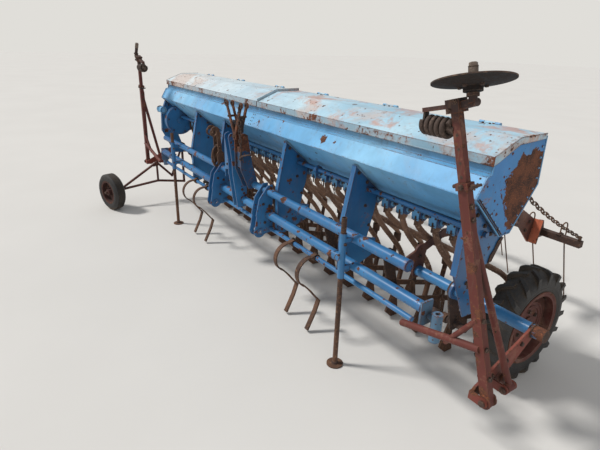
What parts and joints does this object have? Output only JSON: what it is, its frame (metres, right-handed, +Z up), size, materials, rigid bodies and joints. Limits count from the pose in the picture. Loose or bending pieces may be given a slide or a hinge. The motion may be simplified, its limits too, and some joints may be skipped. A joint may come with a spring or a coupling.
{
  "type": "mounted seed drill",
  "caption": "Weathered blue mounted seed drill: long seed box with two lids, coulters and tubes, two folded row markers, tine harrow, lugged wheels, outrigger wheel.",
  "frame": {"origin": "on the ground below the middle of the main wheels' axle line, midway across the working width", "axes": "+X along the working width to the machine's left as it drives, -Y towards the tractor, +Z up"},
  "size_m": [4.6684, 2.8524, 1.75],
  "materials": {
    "pale_blue_paint": "weathered light blue paint with rust patches",
    "blue_paint": "weathered mid blue paint, chipped along edges",
    "red_paint": "dull red oxide paint with rust",
    "orange_paint": "faded orange red paint",
    "rusty_steel": "brown rust, matt",
    "dark_rust": "dark old rust with greasy dirt",
    "worn_steel": "bare steel with light rust",
    "tyre_rubber": "old black rubber, dusty"
  },
  "bodies": {
    "frame": {"box_front": "pale_blue_paint", "box_back": "pale_blue_paint", "box_end_left": "pale_blue_paint", "box_end_right": "pale_blue_paint", "box_divider": "blue_paint", "metering_rail": "blue_paint", "upper_front_tube": "blue_paint", "tube_sleeve": "blue_paint", "lower_front_tube": "blue_paint", "bottom_rail": "blue_paint", "main_beam": "blue_paint", "support_plates": "blue_paint", "link_brackets": "blue_paint", "top_mast": "blue_paint", "changeover_levers": "dark_rust", "linkage_hooks": "rusty_steel", "control_shaft": "blue_paint", "metering_units": "blue_paint", "metering_shaft": "worn_steel", "seed_tubes": "rusty_steel", "coulter_bar": "dark_rust", "coulters_front": "rusty_steel", "coulters_rear": "rusty_steel", "drive_cover": "blue_paint", "chain_case": "rusty_steel", "wheel_arm_left": "blue_paint", "wheel_arm_right": "blue_paint", "socket_left": "pale_blue_paint", "socket_right": "pale_blue_paint", "marker_bracket_left": "red_paint", "marker_bracket_right": "red_paint", "harrow_arms": "orange_paint", "harrow_bars": "dark_rust", "harrow_tines": "rusty_steel", "lift_chains": "rusty_steel", "track_tines": "rusty_steel", "stand_sleeves": "blue_paint", "outrigger_frame": "red_paint"},
    "wheel_left": {"tyre_left": "tyre_rubber", "rim_left": "red_paint"},
    "wheel_right": {"tyre_right": "tyre_rubber", "rim_right": "red_paint"},
    "outrigger_wheel": {"small_tyre": "tyre_rubber", "small_rim": "red_paint"},
    "lid_left": {"lid_left": "pale_blue_paint"},
    "lid_right": {"lid_right": "pale_blue_paint"},
    "marker_left": {"marker_post_left": "red_paint", "marker_coil_left": "rusty_steel"},
    "marker_right": {"marker_post_right": "red_paint", "marker_coil_right": "rusty_steel"},
    "disc_right": {"marker_disc": "dark_rust"},
    "stand_left": {"stand_left": "rusty_steel"},
    "stand_right": {"stand_right": "rusty_steel"}
  },
  "joints": [
    {"name": "wheel_right_spin", "type": "hinge", "parent": "frame", "child": "wheel_right", "pos_m": [1.948, 0, 0.34], "axis": [1, 0, 0], "continuous": true},
    {"name": "wheel_left_spin", "type": "hinge", "parent": "frame", "child": "wheel_left", "pos_m": [-1.948, 0, 0.34], "axis": [1, 0, 0], "continuous": true},
    {"name": "outrigger_spin", "type": "hinge", "parent": "frame", "child": "outrigger_wheel", "pos_m": [-2.14, -1.33, 0.2], "axis": [0.2756, -0.9613, 0], "continuous": true},
    {"name": "lid_right_hinge", "type": "hinge", "parent": "frame", "child": "lid_right", "pos_m": [1, -0.27, 1.46], "axis": [-1, 0, 0], "range_deg": [0, 100]},
    {"name": "lid_left_hinge", "type": "hinge", "parent": "frame", "child": "lid_left", "pos_m": [-1, -0.27, 1.46], "axis": [-1, 0, 0], "range_deg": [0, 100]},
    {"name": "marker_right_fold", "type": "hinge", "parent": "frame", "child": "marker_right", "pos_m": [2.3, -0.855, 0.46], "axis": [0, 1, 0], "range_deg": [0, 114]},
    {"name": "marker_left_fold", "type": "hinge", "parent": "frame", "child": "marker_left", "pos_m": [-2.3, -0.855, 0.46], "axis": [0, -1, 0], "range_deg": [0, 114]},
    {"name": "disc_right_spin", "type": "hinge", "parent": "marker_right", "child": "disc_right", "pos_m": [2.04958, -0.93574, 1.68632], "axis": [-0.2557, 0.1045, 0.9611], "continuous": true},
    {"name": "stand_right_slide", "type": "slide", "parent": "frame", "child": "stand_right", "axis": [0, 0, 1], "range_m": [0, 0.3]},
    {"name": "stand_left_slide", "type": "slide", "parent": "frame", "child": "stand_left", "axis": [0, 0, 1], "range_m": [0, 0.3]}
  ]
}
